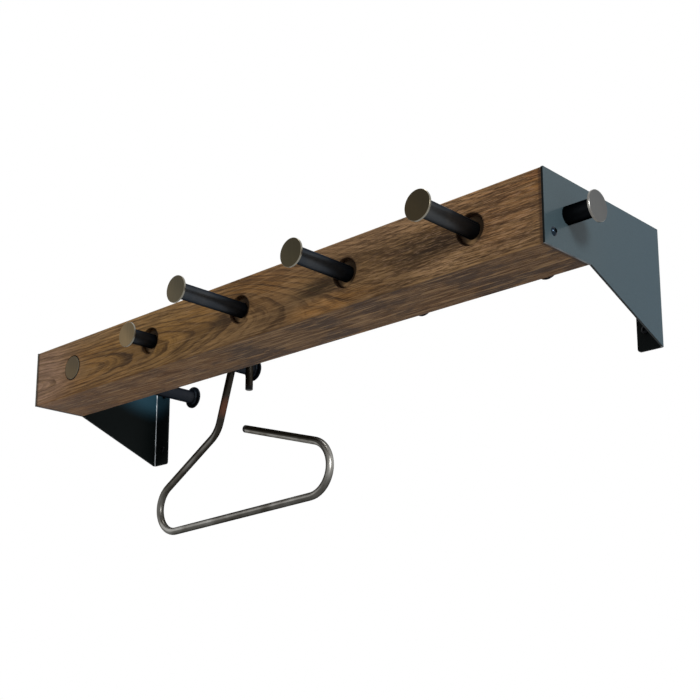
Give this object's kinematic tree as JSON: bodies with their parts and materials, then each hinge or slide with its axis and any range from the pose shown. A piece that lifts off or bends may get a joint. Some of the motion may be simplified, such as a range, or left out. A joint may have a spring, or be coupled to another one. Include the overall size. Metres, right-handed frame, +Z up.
{
  "type": "wall coat rack",
  "caption": "Wooden beam on two folded steel wall brackets, with steel pegs that slide through it front to back, fixed end pegs and a bent-tube coat hanger.",
  "frame": {"origin": "centre of the four wall screw holes, on the wall", "axes": "+X to the right along the beam, +Y into the wall, +Z up"},
  "size_m": [1.086, 0.362, 0.2984],
  "materials": {
    "beam_wood": "oiled brown wood, open grain",
    "bracket_steel": "satin blue-grey coat",
    "rod_steel": "blued gunmetal, satin",
    "disc_bronze": "brushed bronze-grey",
    "disc_steel": "brushed grey",
    "disc_dark": "blued, satin",
    "bush_plastic": "matt black",
    "stud_zinc": "zinc plated",
    "screw_black": "black oxide",
    "hanger_steel": "warm grey, half bright",
    "plug_plastic": "matt black"
  },
  "bodies": {
    "rack": {"beam": "beam_wood", "bracket_left": "bracket_steel", "bracket_right": "bracket_steel", "plate_screw_left": "screw_black", "plate_screw_right": "screw_black", "end_stud_left": "stud_zinc", "end_rod_left": "rod_steel", "end_head_left": "disc_steel", "end_stud_right": "stud_zinc", "end_rod_right": "rod_steel", "end_head_right": "disc_steel", "front_bush_1": "bush_plastic", "rear_bush_1": "bush_plastic", "front_bush_2": "bush_plastic", "rear_bush_2": "bush_plastic", "front_bush_3": "bush_plastic", "rear_bush_3": "bush_plastic", "front_bush_4": "bush_plastic", "rear_bush_4": "bush_plastic", "front_bush_5": "bush_plastic", "rear_bush_5": "bush_plastic"},
    "peg_1": {"peg_1_rod": "rod_steel", "peg_1_head": "disc_bronze", "peg_1_tail": "disc_dark"},
    "peg_2": {"peg_2_rod": "rod_steel", "peg_2_head": "disc_bronze", "peg_2_tail": "disc_dark"},
    "peg_3": {"peg_3_rod": "rod_steel", "peg_3_head": "disc_bronze", "peg_3_tail": "disc_dark"},
    "peg_4": {"peg_4_rod": "rod_steel", "peg_4_head": "disc_bronze", "peg_4_tail": "disc_dark"},
    "peg_5": {"peg_5_rod": "rod_steel", "peg_5_head": "disc_bronze", "peg_5_tail": "disc_dark"},
    "hanger": {"hanger_tube": "hanger_steel", "hanger_tip_plug": "plug_plastic", "hanger_arm_plug": "plug_plastic"}
  },
  "joints": [
    {"name": "peg_1_slide", "type": "slide", "parent": "rack", "child": "peg_1", "axis": [0, -1, 0], "range_m": [0, 0.1485]},
    {"name": "peg_2_slide", "type": "slide", "parent": "rack", "child": "peg_2", "axis": [0, -1, 0], "range_m": [-0.041, 0.0795]},
    {"name": "peg_3_slide", "type": "slide", "parent": "rack", "child": "peg_3", "axis": [0, -1, 0], "range_m": [-0.111, 0.0375]},
    {"name": "peg_4_slide", "type": "slide", "parent": "rack", "child": "peg_4", "axis": [0, -1, 0], "range_m": [-0.094, 0.0545]},
    {"name": "peg_5_slide", "type": "slide", "parent": "rack", "child": "peg_5", "axis": [0, -1, 0], "range_m": [-0.093, 0.0555]},
    {"name": "hanger_swing", "type": "hinge", "parent": "peg_2", "child": "hanger", "pos_m": [-0.2, -0.07, 0.031], "axis": [0, 1, 0], "range_deg": [-35, 35]}
  ]
}
